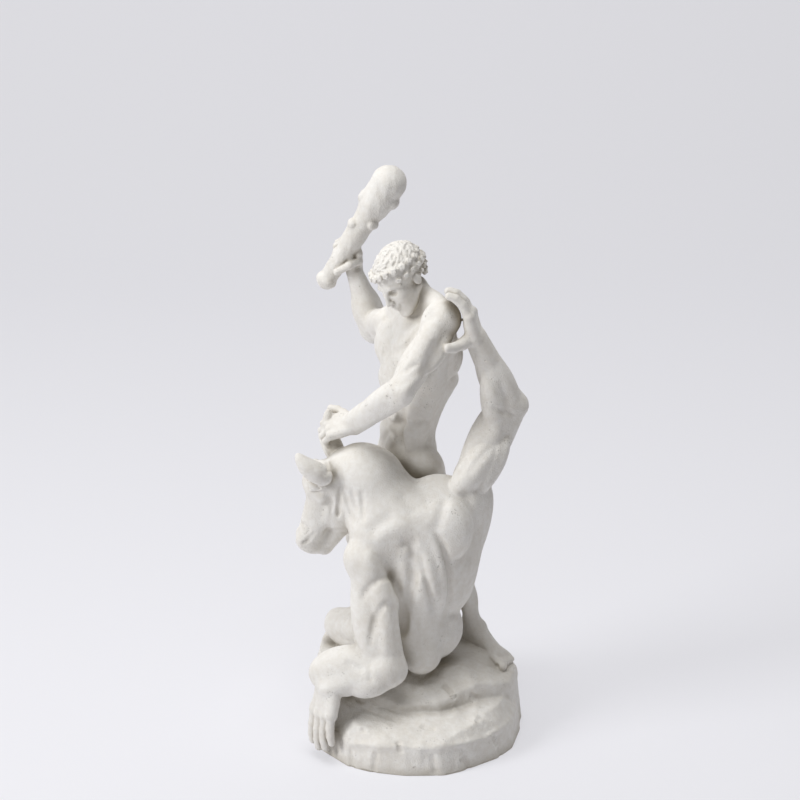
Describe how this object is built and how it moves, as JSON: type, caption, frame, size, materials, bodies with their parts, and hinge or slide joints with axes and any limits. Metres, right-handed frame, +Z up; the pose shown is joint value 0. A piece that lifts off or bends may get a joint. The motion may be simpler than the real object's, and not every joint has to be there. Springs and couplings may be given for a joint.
{
  "type": "theseus and minotaur statue",
  "caption": "Plaster statuette group: a nude hero raises a club over a seated bull-headed man whose raised arm presses his shoulder, on a rough rock base.",
  "frame": {"origin": "middle of the rock's flat underside", "axes": "+Z up, -Y towards the viewer, who sees the bull-headed man's back, -X the way the hero faces"},
  "size_m": [0.2169, 0.2559, 0.5219],
  "materials": {
    "plaster": "matt white cast plaster with fine pits"
  },
  "bodies": {
    "root": {"theseus_and_minotaur_group": "plaster"}
  },
  "joints": []
}
